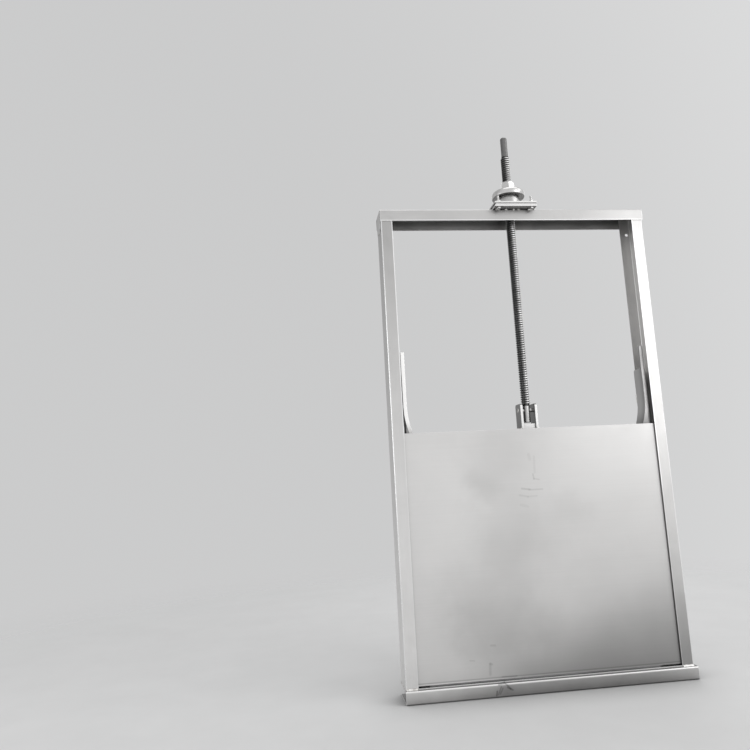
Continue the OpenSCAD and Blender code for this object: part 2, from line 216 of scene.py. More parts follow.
# Rubs and scratches on the leaf and the sill: start, end, width, and the share that goes
LEAF_RUBS = (
    ((-0.064, 0.803), (-0.030, 0.798), 0.0060, 0.16),
    ((-0.034, 0.797), (0.024, 0.798), 0.0050, 0.14),
    ((-0.077, 0.776), (-0.041, 0.769), 0.0060, 0.10),
    ((-0.041, 0.769), (-0.002, 0.771), 0.0050, 0.09),
    ((-0.074, 0.737), (-0.045, 0.729), 0.0080, 0.06),
    ((-0.012, 0.862), (-0.009, 0.841), 0.0050, 0.15),
    ((-0.009, 0.843), (0.013, 0.838), 0.0045, 0.12),
    ((-0.001, 0.935), (-0.004, 0.868), 0.0070, 0.07),
    ((-0.024, 0.945), (-0.020, 0.925), 0.0100, 0.07),
    ((-0.246, 0.193), (-0.228, 0.192), 0.0060, 0.13),
    ((-0.255, 0.124), (-0.256, 0.084), 0.0075, 0.14),
    ((-0.254, 0.124), (-0.247, 0.122), 0.0065, 0.16),
    ((-0.335, 0.142), (-0.318, 0.140), 0.0045, 0.12),
    ((-0.209, 0.071), (-0.150, 0.069), 0.0045, 0.22),
)
SILL_SCRIBBLES = (
    ((-0.243, 0.008), (-0.240, 0.024), 0.0050, 0.42),
    ((-0.236, 0.012), (-0.222, 0.040), 0.0042, 0.30),
    ((-0.228, 0.014), (-0.216, 0.034), 0.0045, 0.30),
    ((-0.206, 0.054), (-0.184, 0.030), 0.0052, 0.40),
    ((-0.196, 0.036), (-0.176, 0.026), 0.0050, 0.36),
    ((-0.232, 0.048), (-0.204, 0.053), 0.0050, 0.40),
)
SILL_CLOUD = (-0.205, 0.03, 0.06, 0.03, 0.2)

# The studio's tone behind the gate and in front of it, and the way in which it brightens
STUDIO_BEHIND = 0.60
STUDIO_BEFORE = 0.98
STUDIO_TOWARDS = (0.55, -0.83, 0.0)

# The floor: its size and height, and the distances between which it thins out
FLOOR_RADIUS = 14.0
FLOOR_STEPS = 96
FLOOR_Z = -0.0005
FLOOR_FADE = (1.9, 4.5)

# The Mix node's sockets for A, B and the result, by what it mixes, as their names repeat
MIX_SOCKETS = {"FLOAT": (2, 3, 0), "RGBA": (6, 7, 2)}


# Node helpers

def link(tree, a, b):
    tree.links.new(a, b)


def add_node(tree, kind, **values):
    made = tree.nodes.new(kind)
    for key, value in values.items():
        setattr(made, key, value)
    return made


def feed(tree, socket, value):
    """Links value where it is another node's output, or else sets it."""
    if isinstance(value, bpy.types.NodeSocket):
        link(tree, value, socket)
    else:
        socket.default_value = value


def noise(tree, coords, scale, detail, rough=0.55, distortion=0.0, output="Fac"):
    made = add_node(tree, "ShaderNodeTexNoise")
    feed(tree, made.inputs["Vector"], coords)
    feed(tree, made.inputs["Scale"], scale)
    feed(tree, made.inputs["Detail"], detail)
    feed(tree, made.inputs["Roughness"], rough)
    feed(tree, made.inputs["Distortion"], distortion)
    return made.outputs[output]


def remap(tree, value, low, high, to_low, to_high, smooth=False):
    """to_low where value is low, to_high where it is high, and in between."""
    kind = "SMOOTHSTEP" if smooth else "LINEAR"
    made = add_node(tree, "ShaderNodeMapRange", interpolation_type=kind)
    feed(tree, made.inputs["Value"], value)
    feed(tree, made.inputs["From Min"], low)
    feed(tree, made.inputs["From Max"], high)
    feed(tree, made.inputs["To Min"], to_low)
    feed(tree, made.inputs["To Max"], to_high)
    return made.outputs["Result"]


def calc(tree, operation, a, b=0.0):
    made = add_node(tree, "ShaderNodeMath", operation=operation)
    feed(tree, made.inputs[0], a)
    feed(tree, made.inputs[1], b)
    return made.outputs["Value"]


def times(tree, *values):
    made = values[0]
    for value in values[1:]:
        made = calc(tree, "MULTIPLY", made, value)
    return made


def vector(tree, operation, a, b=(0.0, 0.0, 0.0), output="Vector"):
    made = add_node(tree, "ShaderNodeVectorMath", operation=operation)
    feed(tree, made.inputs[0], a)
    feed(tree, made.inputs[1], b)
    return made.outputs[output]


def length(tree, source):
    return vector(tree, "LENGTH", source, output="Value")


def part_of(tree, source, axis):
    """The X, Y or Z of a place or a direction."""
    made = add_node(tree, "ShaderNodeSeparateXYZ")
    feed(tree, made.inputs[0], source)
    return made.outputs[axis]


def facing(tree, axis):
    """How far a face looks along X, Y or Z."""
    return part_of(tree, add_node(tree, "ShaderNodeNewGeometry").outputs["Normal"], axis)


def mixed(tree, factor, a, b, kind="RGBA"):
    first, second, result = MIX_SOCKETS[kind]
    made = add_node(tree, "ShaderNodeMix", data_type=kind)
    feed(tree, made.inputs["Factor"], factor)
    feed(tree, made.inputs[first], a)
    feed(tree, made.inputs[second], b)
    return made.outputs[result]


def mixed_value(tree, factor, a, b):
    return mixed(tree, factor, a, b, "FLOAT")


def grey(v, warm=0.0):
    return (v * (1 + warm), v, v * (1 - warm), 1.0)


def tinted(tree, tone, warm=0.010):
    """A grey of that tone, a little warm."""
    made = add_node(tree, "ShaderNodeCombineColor")
    for socket, share in zip(made.inputs[:3], (1 + warm, 1.0, 1 - warm)):
        feed(tree, socket, times(tree, tone, share))
    return made.outputs["Color"]


def new_material(name, metallic=0.0):
    """A material, its node tree, its shader and the place in the gate's frame."""
    material = bpy.data.materials.new(name)
    material.use_nodes = True
    tree = material.node_tree
    shader = tree.nodes["Principled BSDF"]
    shader.inputs["Metallic"].default_value = metallic
    coords = add_node(tree, "ShaderNodeTexCoord").outputs["Object"]
    return material, tree, shader, coords


def surface(tree, shader, colour, gloss, height, strength, distance):
    """Gives the shader its colour, its roughness and its bump."""
    link(tree, colour, shader.inputs["Base Color"])
    link(tree, gloss, shader.inputs["Roughness"])
    bump = add_node(tree, "ShaderNodeBump")
    feed(tree, bump.inputs["Strength"], strength)
    feed(tree, bump.inputs["Distance"], distance)
    feed(tree, bump.inputs["Height"], height)
    link(tree, bump.outputs["Normal"], shader.inputs["Normal"])


# Painted light and shade, and rubbed edges, by shape and by the way in which a face looks

def edge_wear_and_glint(tree, radius):
    """1 on a piece's edges and 0 on its flats, from what rounding does to the normal; the edges get
    rubbed wear and a painted highlight.
    """
    bevel = add_node(tree, "ShaderNodeBevel", samples=4)
    feed(tree, bevel.inputs["Radius"], radius)
    normal = add_node(tree, "ShaderNodeNewGeometry").outputs["Normal"]
    kept = vector(tree, "DOT_PRODUCT", bevel.outputs["Normal"], normal, "Value")
    return remap(tree, kept, 1.0, 0.86, 0.0, 1.0)


def hollow_shade(tree, reach, least):
    """Painted shade: 1 in the open, down to least in corners and hollows."""
    hollow = add_node(tree, "ShaderNodeAmbientOcclusion", samples=6)
    feed(tree, hollow.inputs["Distance"], reach)
    return remap(tree, hollow.outputs["AO"], 0.25, 0.95, least, 1.0)


def underside_shade(tree, least):
    """Painted shade: 1 on faces that look up or sideways, down to least on faces that look down."""
    return remap(tree, facing(tree, "Z"), -0.35, -0.85, 1.0, least)


def topside(tree, least):
    """1 on faces that look down or sideways, down to least on ones that look up."""
    return remap(tree, facing(tree, "Z"), 0.7, 0.9, 1.0, least)


def facing_y(tree, sawn_and_lit_tone):
    """The given tone on faces that look to the front or back, else 1: a flat bar's bright sawn
    edges, with painted light on them.
    """
    return remap(tree, calc(tree, "ABSOLUTE", facing(tree, "Y")), 0.80, 0.97, 1.0, sawn_and_lit_tone)


def fold_highlight(tree):
    """1 on the upright folds between a sheet's front and side, where a painted highlight goes."""
    slant = calc(tree, "ABSOLUTE", times(tree, facing(tree, "X"), facing(tree, "Y")))
    return remap(tree, slant, 0.10, 0.36, 0.0, 1.0, smooth=True)


def shaded_left_side(tree, least):
    """Painted shade: 1 on the stem's right, down to least on its left."""
    return remap(tree, facing(tree, "X"), -0.50, 0.05, least, 1.0, smooth=True)


# Painted light and shade by place on the gate

def channel_glow(tree, coords, gain):
    """Painted light: gain on the faces inside the posts' channels, and 1 outside."""
    x, y = part_of(tree, coords, "X"), part_of(tree, coords, "Y")
    back = POST_DEPTH - SHEET / 2
    behind = remap(tree, y, SHEET / 2, SHEET / 2 + SHARP, 0.0, 1.0)
    before = remap(tree, y, back, back - SHARP, 0.0, 1.0)
    side = calc(tree, "ABSOLUTE", x)
    within = remap(tree, side, HALF_WIDTH - SHARP, HALF_WIDTH - 2 * SHARP, 0.0, 1.0)
    return calc(tree, "ADD", 1.0, times(tree, behind, before, within, gain - 1.0))


def beam_channel_shade(tree, coords):
    """Painted shade close under the beam's web and painted light down the inner face of its back
    lip.
    """
    y, z = part_of(tree, coords, "Y"), part_of(tree, coords, "Z")
    back = POST_DEPTH + SHEET / 2
    inner = remap(tree, y, POST_DEPTH - 0.010, POST_DEPTH - 0.004, 0.0, 1.0)
    outer = remap(tree, y, back, back - SHARP, 0.0, 1.0)
    light = remap(tree, z, LIP_EDGE + 0.004, BEAM_TOP - 0.012, 1.6, 0.7, smooth=True)
    return mixed_value(tree, times(tree, inner, outer), 1.0, light)


def cut_edge_glint(tree, coords):
    """Painted highlight: 1 along the cut edges of the posts' front flanges and of the beam's front
    lip, else 0.
    """
    x, y, z = (part_of(tree, coords, axis) for axis in "XYZ")
    from_edge = calc(tree, "SUBTRACT", calc(tree, "ABSOLUTE", x), FLANGE_EDGE)
    above_lip = remap(tree, z, LIP_EDGE - SHARP, LIP_EDGE, 0.0, 1.0)
    flange = remap(tree, from_edge, *FLANGE_GLINT, 0.0, 1.0)
    foot = remap(tree, x, -0.1, 0.1, *GLINT_FOOT)
    shown = remap(tree, calc(tree, "SUBTRACT", z, foot), -0.06, 0.0, 0.15, 1.0)
    flange = times(tree, flange, shown, calc(tree, "SUBTRACT", 1.0, above_lip))
    wide, full = LIP_GLINT
    lip = times(tree, above_lip, remap(tree, z, LIP_EDGE + wide, LIP_EDGE + full, 0.0, 1.0))
    front = remap(tree, y, SHARP / 2, 0.0, 0.0, 1.0)
    return times(tree, calc(tree, "MAXIMUM", flange, lip), front)


def across(tree, coords, left, right):
    """A change of tone from the gate's left side to its right one."""
    return remap(tree, part_of(tree, coords, "X"), -RAIL_SIDE, RAIL_SIDE, left, right)


def rail_depth_shade(tree, coords):
    """Painted shade: a rail's sides, darker at its front edge than at its back one."""
    return remap(tree, part_of(tree, coords, "Y"), RAIL_FRONT, RAIL_BACK, 0.72, 1.06, smooth=True)


def rail_side_light(tree, coords):
    """Painted light and shade: the left rail is the paler one."""
    return across(tree, coords, 1.26, 0.74)


def rail_foot_shade(tree, coords):
    """Painted shade: a rail's tone falls off where it runs down behind the shut leaf's top edge."""
    z = part_of(tree, coords, "Z")
    return remap(tree, z, LEAF_TOP, LEAF_TOP + 0.06, 0.66, 1.0, smooth=True)


def upright_sheen(tree, coords, foot, head):
    """Painted sheen: a slow change of tone up the left side, from foot to head, that runs out to
    the right.
    """
    rise = remap(tree, part_of(tree, coords, "Z"), 0.1, 1.9, foot - 1.0, head - 1.0)
    leftward = remap(tree, part_of(tree, coords, "X"), -0.45, 0.3, 1.0, 0.0, smooth=True)
    return calc(tree, "ADD", 1.0, times(tree, rise, leftward))


def leaf_rim(tree, coords):
    """The leaf's lower rim: painted shade in a fine fold line, and a paler lip below it."""
    z = part_of(tree, coords, "Z")
    below = remap(tree, z, RIM_LINE + RIM_REACH, RIM_LINE + RIM_CORE, 0.0, 1.0)
    above = remap(tree, z, RIM_LINE - RIM_REACH, RIM_LINE - RIM_CORE, 0.0, 1.0)
    lip = remap(tree, z, RIM_LINE - RIM_CORE, RIM_LINE - RIM_REACH, 1.0, 1.14)
    return times(tree, mixed_value(tree, times(tree, below, above), 1.0, 0.74), lip)


def lower_right(tree, coords, amount):
    """A painted shadow that thickens towards the gate's lower right corner."""
    x, z = part_of(tree, coords, "X"), part_of(tree, coords, "Z")
    ragged = times(tree, noise(tree, coords, 3.0, detail=3.0, rough=0.5), 0.10)
    height = calc(tree, "SUBTRACT", z, times(tree, x, SHADOW_SLOPE))
    height = calc(tree, "ADD", height, ragged)
    wedge = remap(tree, height, SHADOW_TOP, 0.0, 0.0, 1.0, smooth=True)
    rightward = remap(tree, x, -0.50, 0.10, 0.20, 1.0, smooth=True)
    return calc(tree, "SUBTRACT", 1.0, times(tree, wedge, rightward, amount))


# Marks, each the share of the tone that it takes

def flat_place(tree, coords, ragged):
    """The place on a front face, (x, 0, z), pushed about a little to make marks ragged."""
    waves = noise(tree, coords, 7.0, detail=3.0, output="Color")
    push = vector(tree, "SUBTRACT", waves, (0.5, 0.5, 0.5))
    push = vector(tree, "MULTIPLY", push, (ragged, 0.0, ragged))
    return vector(tree, "MULTIPLY", vector(tree, "ADD", coords, push), (1.0, 0.0, 1.0))


def cloud_at(tree, place, x, z, reach_x, reach_z, amount):
    """A soft round cloud on the face, strongest at (x, z)."""
    away = vector(tree, "SUBTRACT", place, (x, 0.0, z))
    away = vector(tree, "MULTIPLY", away, (1 / reach_x, 0.0, 1 / reach_z))
    return remap(tree, length(tree, away), 0.0, 1.0, amount, 0.0, smooth=True)


def stroke(tree, place, start, end, width, amount):
    """A fine scratch or rub on the face, from start to end, each as (x, z)."""
    run = Vector((end[0] - start[0], 0.0, end[1] - start[1]))
    away = vector(tree, "SUBTRACT", place, (start[0], 0.0, start[1]))
    share = vector(tree, "DOT_PRODUCT", away, tuple(run / run.length_squared), "Value")
    share = remap(tree, share, 0.0, 1.0, 0.0, 1.0)
    along = add_node(tree, "ShaderNodeVectorMath", operation="SCALE")
    feed(tree, along.inputs[0], run)
    feed(tree, along.inputs["Scale"], share)
    off = length(tree, vector(tree, "SUBTRACT", away, along.outputs["Vector"]))
    return remap(tree, off, width * 0.3, width, amount, 0.0, smooth=True)


def leaf_marks(tree, coords):
    """The clouds, rubs and pencil-thin scratches that the leaf's face shows."""
    soft = flat_place(tree, coords, 0.16)
    sharp = flat_place(tree, coords, 0.006)
    clouds = [cloud_at(tree, soft, *cloud) for cloud in LEAF_CLOUDS]
    return clouds + [stroke(tree, sharp, *rub) for rub in LEAF_RUBS]


def sill_marks(tree, coords):
    """Grime over the sill's whole front, with the dark scribbles left of its middle."""
    sharp = flat_place(tree, coords, 0.008)
    x, z = part_of(tree, coords, "X"), part_of(tree, coords, "Z")
    face = remap(tree, z, SILL_FOLD, SILL_FOLD - 0.008, 0.0, 1.0)
    rise = remap(tree, x, -0.58, -0.15, 0.10, 0.42, smooth=True)
    fall = remap(tree, x, 0.36, 0.60, 1.0, 0.45, smooth=True)
    grime = times(tree, face, times(tree, rise, fall))
    scribbles = [stroke(tree, sharp, *scribble) for scribble in SILL_SCRIBBLES]
    return [grime, cloud_at(tree, sharp, *SILL_CLOUD)] + scribbles


def web_slot_shade(tree, coords):
    """Painted shade in the slot where the left web meets its post."""
    return [remap(tree, part_of(tree, coords, "X"), *WEB_SLOT_SHADE, 0.0, 0.92)]


def darker_by(tree, tone, marks):
    """The tone with every mark's share taken off it, on the faces that look to the front."""
    front = remap(tree, facing(tree, "Y"), -0.2, -0.6, 0.0, 1.0)
    kept = 1.0
    for mark in marks:
        kept = times(tree, calc(tree, "SUBTRACT", 1.0, mark), kept)
    return times(tree, tone, mixed_value(tree, front, 1.0, kept))


# Materials

def steel(name, base, rough, cloud, worn, grain=LEVEL_GRAIN, grain_amount=0.02, dirt=0.0,
          hollow_least=0.6, under=0.6, upper=1.0, low_right=0.0, sawn_and_lit_tone=None, folds=0.0, inside=0.0,
          fade=None, edge=BAR_RUB_AND_GLINT, cut_glint=False, own=(), marks=None):
    """Stainless steel: cloudy mill finish, fine grain, a blasted surface, rubbed edges and grime,
    with painted shade, painted sheen and painted highlights.

    own holds the painted light and shade that only this steel has, each worked out from the place.
    """
    material, tree, shader, coords = new_material(name, metallic=1.0)
    clouds = noise(tree, coords, 2.4, detail=3.0, rough=0.5, distortion=0.3)
    patches = noise(tree, coords, 9.0, detail=4.0, rough=0.6, distortion=0.8)
    streaks = noise(tree, vector(tree, "MULTIPLY", coords, grain), 1.0, detail=3.0, rough=0.6)
    spread = calc(tree, "ADD", times(tree, clouds, 0.72), times(tree, patches, 0.28))
    tone = remap(tree, spread, 0.34, 0.66, base - cloud, base + cloud)
    streaked = remap(tree, streaks, 0.3, 0.7, 1.0 - grain_amount, 1.0 + grain_amount)
    # Painted shade in hollows and on faces that look down.
    tone = times(tree, tone, streaked, hollow_shade(tree, 0.09, hollow_least), underside_shade(tree, under))
    # Bright sawn edges, with painted light on the faces that look to the front and back.
    if sawn_and_lit_tone:
        tone = times(tree, tone, facing_y(tree, across(tree, coords, *sawn_and_lit_tone)))
    # Painted light on the faces inside the posts' channels.
    if inside > 0:
        tone = times(tree, tone, channel_glow(tree, coords, inside))
    if upper < 1:
        tone = times(tree, tone, topside(tree, upper))
    # The painted light and shade that only this steel has.
    for change in own:
        tone = times(tree, tone, change(tree, coords))
    # Painted sheen up the left side.
    if fade:
        tone = times(tree, tone, upright_sheen(tree, coords, *fade))
    if marks:
        tone = darker_by(tree, tone, marks(tree, coords))
    # A painted shadow over the gate's lower right.
    if low_right > 0:
        tone = times(tree, tone, lower_right(tree, coords, low_right))
    colour = tinted(tree, calc(tree, "MINIMUM", tone, BRIGHTEST))
    if dirt > 0:
        spots = noise(tree, coords, 5.0, detail=8.0, rough=0.7, distortion=1.2)
        spots = remap(tree, spots, 0.54, 0.76, 0.0, dirt)
        colour = mixed(tree, spots, colour, grey(base * 0.45, 0.02))
    # Rubbed wear and a painted highlight on the edges.
    colour = mixed(tree, times(tree, edge_wear_and_glint(tree, edge), worn), colour, grey(RUB_AND_GLINT_GREY))
    # A painted highlight along the cut edges of the flanges and the lip.
    if cut_glint:
        cut = times(tree, cut_edge_glint(tree, coords), 0.8)
        colour = mixed(tree, cut, colour, grey(CUT_GLINT_GREY))
    gloss = remap(tree, patches, 0.3, 0.7, rough - 0.05, rough + 0.07)
    # A painted highlight on the upright folds, paler and glossier.
    if folds > 0:
        fold_glint = times(tree, fold_highlight(tree), folds)
        colour = mixed(tree, fold_glint, colour, grey(HIGHLIGHT_GREY))
        gloss = calc(tree, "SUBTRACT", gloss, times(tree, fold_glint, 0.14))
    pits = calc(tree, "ADD", noise(tree, coords, 900.0, detail=2.0), times(tree, streaks, 0.6))
    surface(tree, shader, colour, gloss, pits, strength=0.03, distance=0.0006)
    return material


def lathe_marks(tree, coords):
    """Fine rings about the stem's axis, and soft patches."""
    rings = noise(tree, vector(tree, "MULTIPLY", coords, TURNED_GRAIN), 1.0, detail=3.0, rough=0.6)
    return rings, noise(tree, coords, 22.0, detail=5.0, rough=0.6, distortion=0.5)


def turned_steel(name, base, rough):
    """Lathe-turned steel."""
    material, tree, shader, coords = new_material(name, metallic=1.0)
    rings, patches = lathe_marks(tree, coords)
    tone = remap(tree, patches, 0.3, 0.7, base * 0.86, base * 1.08)
    # Painted shade in hollows and on faces that look down, then rubbed wear with a painted
    # highlight on the edges.
    tone = times(tree, tone, hollow_shade(tree, 0.05, 0.6), underside_shade(tree, 0.42))
    rubbed = times(tree, edge_wear_and_glint(tree, TURNED_RUB_AND_GLINT), 0.45)
    colour = mixed(tree, rubbed, tinted(tree, tone), grey(HIGHLIGHT_GREY))
    gloss = remap(tree, rings, 0.3, 0.7, rough - 0.06, rough + 0.08)
    surface(tree, shader, colour, gloss, rings, strength=0.08, distance=0.0004)
    return material


def screw_grime(tree, coords):
    return noise(tree, coords, 60.0, detail=6.0, rough=0.65, distortion=0.6)


def thread_steel(name, dark, light, crest, hollow_least):
    """A screw with painted shade between its turns, and rubbed bright on its crests with a painted
    glint.
    """
    material, tree, shader, coords = new_material(name, metallic=0.9)
    grime = screw_grime(tree, coords)
    wear = noise(tree, coords, 14.0, detail=4.0, rough=0.6, distortion=0.4)
    wear = remap(tree, wear, 0.3, 0.7, crest * 0.55, crest)
    tone = remap(tree, grime, 0.35, 0.65, dark, light)
    # Painted shade between the turns, then rubbed wear with a painted glint on the crests.
    tone = times(tree, tone, hollow_shade(tree, 0.008, hollow_least))
    rubbed = times(tree, edge_wear_and_glint(tree, THREAD_RUB_AND_GLINT), wear)
    colour = mixed(tree, rubbed, tinted(tree, tone), grey(0.85))
    gloss = remap(tree, grime, 0.3, 0.7, 0.24, 0.44)
    surface(tree, shader, colour, gloss, grime, strength=0.12, distance=0.0004)
    return material


def stem_steel(name, root_shade_tone, crest_glint_tone):
    """The big screw: painted shade in its roots, painted highlights on its crests, and painted
    shade down its left side.
    """
    material, tree, shader, coords = new_material(name, metallic=0.9)
    out = vector(tree, "SUBTRACT", coords, (0.0, STEM_Y, 0.0))
    out = length(tree, vector(tree, "MULTIPLY", out, (1.0, 1.0, 0.0)))
    crest = remap(tree, out, STEM_ROOT_R, STEM_CREST_R, 0.0, 1.0, smooth=True)
    grime = screw_grime(tree, coords)
    wear = noise(tree, coords, 11.0, detail=4.0, rough=0.6, distortion=0.4)
    wear = remap(tree, wear, 0.3, 0.7, 0.6, 1.0)
    roots = remap(tree, grime, 0.35, 0.65, root_shade_tone * 0.6, root_shade_tone * 1.4)
    # Painted light: the roots up to three times as bright on the right as on the left.
    roots = times(tree, roots, remap(tree, shaded_left_side(tree, 0.0), 0.0, 1.0, 1.0, 3.0))
    bright = remap(tree, grime, 0.35, 0.65, crest_glint_tone * 0.85, crest_glint_tone)
    # A patchy painted highlight on the crests, with painted shade on the left side.
    crests = times(tree, wear, shaded_left_side(tree, 0.12), bright)
    tone = calc(tree, "MAXIMUM", roots, times(tree, crest, crests))
    gloss = remap(tree, grime, 0.3, 0.7, 0.24, 0.40)
    surface(tree, shader, tinted(tree, tone, 0.006), gloss, grime, strength=0.12, distance=0.0004)
    return material


def stem_foot_steel(name, base):
    """The stem's turned foot, with the same painted shade on its left."""
    material, tree, shader, coords = new_material(name, metallic=1.0)
    rings, patches = lathe_marks(tree, coords)
    tone = remap(tree, patches, 0.3, 0.7, base * 0.86, base * 1.1)
    colour = tinted(tree, times(tree, tone, shaded_left_side(tree, 0.75)))
    gloss = remap(tree, rings, 0.3, 0.7, 0.26, 0.42)
    surface(tree, shader, colour, gloss, rings, strength=0.08, distance=0.0004)
    return material


def rubber(name):
    """Black rubber with a pale bloom."""
    material, tree, shader, coords = new_material(name)
    bloom = noise(tree, coords, 30.0, detail=6.0, rough=0.6, distortion=0.3)
    colour = tinted(tree, remap(tree, bloom, 0.35, 0.7, 0.022, 0.06), 0.02)
    gloss = remap(tree, bloom, 0.3, 0.7, 0.62, 0.85)
    pores = noise(tree, coords, 700.0, detail=2.0)
    surface(tree, shader, colour, gloss, pores, strength=0.15, distance=0.0005)
    return material


def slide_plastic(name):
    """Off-white plastic, scored along its slide."""
    material, tree, shader, coords = new_material(name)
    scores = vector(tree, "MULTIPLY", coords, SLIDE_GRAIN)
    wear = noise(tree, scores, 4.0, detail=5.0, rough=0.6)
    worn = remap(tree, wear, 0.4, 0.7, 0.0, 1.0)
    colour = mixed(tree, worn, (0.8, 0.79, 0.74, 1.0), (0.6, 0.59, 0.55, 1.0))
    shader.inputs["Subsurface Weight"].default_value = 0.05
    gloss = remap(tree, wear, 0.3, 0.7, 0.42, 0.62)
    surface(tree, shader, colour, gloss, wear, strength=0.08, distance=0.0005)
    return material


def weld_metal(name):
    """Weld bead: bright rippled metal with straw and grey tints."""
    material, tree, shader, coords = new_material(name, metallic=1.0)
    tint = noise(tree, coords, 45.0, detail=5.0, rough=0.6, distortion=0.5)
    bright = remap(tree, tint, 0.35, 0.65, 0.0, 1.0)
    colour = mixed(tree, bright, (0.42, 0.405, 0.39, 1.0), (0.84, 0.835, 0.82, 1.0))
    gloss = remap(tree, tint, 0.3, 0.7, 0.28, 0.46)
    scale = noise(tree, coords, 500.0, detail=3.0)
    surface(tree, shader, colour, gloss, scale, strength=0.1, distance=0.0004)
    return material


MATERIALS = {
    "frame_sheet": steel(
        "frame_sheet", base=0.58, rough=0.38, cloud=0.035, grain=UPRIGHT_GRAIN, worn=0.7,
        dirt=0.10, hollow_least=0.9, low_right=0.45, folds=0.9, inside=1.24, fade=(1.38, 0.70),
        edge=SHEET_RUB_AND_GLINT, cut_glint=True),
    "leaf_sheet": steel(
        "leaf_sheet", base=0.595, rough=0.42, cloud=0.02, grain=LEAF_GRAIN, grain_amount=0.012,
        worn=0.4, dirt=0.04, hollow_least=0.75, low_right=0.50, own=(leaf_rim,), fade=(1.18, 0.98),
        marks=leaf_marks),
    # Painted light on the left rail's edges and sides, and painted shade on the rails' sides near
    # their front and where they run behind the leaf.
    "rail_steel": steel(
        "rail_steel", base=0.50, rough=0.34, cloud=0.04, grain=UPRIGHT_GRAIN, worn=0.6,
        sawn_and_lit_tone=(2.3, 1.45), own=(rail_depth_shade, rail_side_light, rail_foot_shade)),
    # Painted shade: the lugs' dark tone stands for their shaded sides, and their front and back
    # faces are painted four times as bright.
    "lug_steel": steel(
        "lug_steel", base=0.21, rough=0.32, cloud=0.03, worn=0.6, dirt=0.15, sawn_and_lit_tone=(4.0, 4.0)),
    "machined_steel": turned_steel("machined_steel", base=0.58, rough=0.28),
    "bolt_steel": turned_steel("bolt_steel", base=0.72, rough=0.28),
    "stem_steel": stem_steel("stem_steel", root_shade_tone=0.05, crest_glint_tone=0.90),
    "seal_rubber": rubber("seal_rubber"),
    "slide_plastic": slide_plastic("slide_plastic"),
}
BEAM = steel(
    "beam_sheet", base=0.49, rough=0.38, cloud=0.035, worn=0.7, dirt=0.10, hollow_least=0.62,
    under=0.47, own=(beam_channel_shade,), folds=0.4, edge=SHEET_RUB_AND_GLINT, cut_glint=True)
SILL = steel(
    "sill_sheet", base=0.625, rough=0.38, cloud=0.05, grain=SILL_GRAIN, worn=0.8, dirt=0.2,
    upper=0.30, fade=(1.2, 1.0), edge=SHEET_RUB_AND_GLINT, marks=sill_marks)
PLATE = steel(
    "plate_bar", base=0.56, rough=0.34, cloud=0.04, grain=PLATE_GRAIN, worn=0.6,
    sawn_and_lit_tone=(1.25, 1.25))
WEB = steel(
    "web_plate", base=0.40, rough=0.40, cloud=0.04, grain=UPRIGHT_GRAIN, worn=0.5, dirt=0.2,
    marks=web_slot_shade)
NUT = turned_steel("nut_steel", base=0.66, rough=0.22)
STEM_FOOT = stem_foot_steel("stem_foot", base=0.62)
STEM_HEAD = turned_steel("stem_head", base=0.17, rough=0.34)
BOLT_THREAD = thread_steel("bolt_thread", dark=0.80, light=0.95, crest=0.6, hollow_least=0.8)
WELD = weld_metal("weld_metal")
OWN_MATERIAL = {
    "sill_beam": SILL, "sill_seat": SILL, "top_beam": BEAM, "lifting_nut": NUT,
    "beam_pad_plate": PLATE, "spacer_plate": PLATE, "bearing_base_plate": PLATE,
    "left_rail_web": WEB, "right_rail_web": WEB,
}
SLOT_OF = {entry["node"]: entry["material_slot"] for entry in frame["record"]["subparts"]}
BODY_OF = {
    node: body
    for body, members in frame["record"]["behaviour"]["bodies"].items()
    for node in members
}


def material_of(node):
    return OWN_MATERIAL.get(node, MATERIALS[SLOT_OF[node]])


# Mesh pieces

def new_object(name, data):
    made = bpy.data.objects.new(name, data)
    bpy.context.scene.collection.objects.link(made)
    return made


def mesh_object(bm, name, material):
    mesh = bpy.data.meshes.new(name)
    bm.to_mesh(mesh)
    bm.free()
    mesh.materials.append(material)
    return new_object(name, mesh)


def piece_from(bm, name, body, material, sharp_angle):
    piece = mesh_object(bm, name, material)
    piece.data.shade_smooth()
    piece.data.set_sharp_from_angle(angle=math.radians(sharp_angle))
    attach(piece, body)
    return piece


def welded_mesh(node):
    """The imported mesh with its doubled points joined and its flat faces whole."""
    bm = bmesh.new()
    bm.from_mesh(NODES[node].data)
    bmesh.ops.remove_doubles(bm, verts=bm.verts, dist=1e-6)
    bmesh.ops.dissolve_limit(bm, angle_limit=math.radians(0.5), verts=bm.verts, edges=bm.edges)
    return bm


def ease(piece, width):
    """Rounds the piece's sharp edges by width."""
    bevel = piece.modifiers.new("Eased edges", "BEVEL")
    bevel.width = width
    bevel.segments = 2
    bevel.limit_method = "ANGLE"
    bevel.angle_limit = math.radians(SOLID_ANGLE)
    bevel.harden_normals = True
    bevel.use_clamp_overlap = True


def eased(node, width):
    """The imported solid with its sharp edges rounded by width, in its own place."""
    piece = piece_from(welded_mesh(node), "eased_" + node, BODY_OF[node],
                       material_of(node), SOLID_ANGLE)
    ease(piece, width)
    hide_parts(node)


def kept_part(node, z, upper=False):
    """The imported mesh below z, or the one above it, with the cut closed."""
    bm = welded_mesh(node)
    everything = bm.verts[:] + bm.edges[:] + bm.faces[:]
    bmesh.ops.bisect_plane(bm, geom=everything, plane_co=(0, 0, z), plane_no=(0, 0, 1),
                           clear_outer=not upper, clear_inner=upper)
    bmesh.ops.holes_fill(bm, edges=[edge for edge in bm.edges if edge.is_boundary])
    return bm


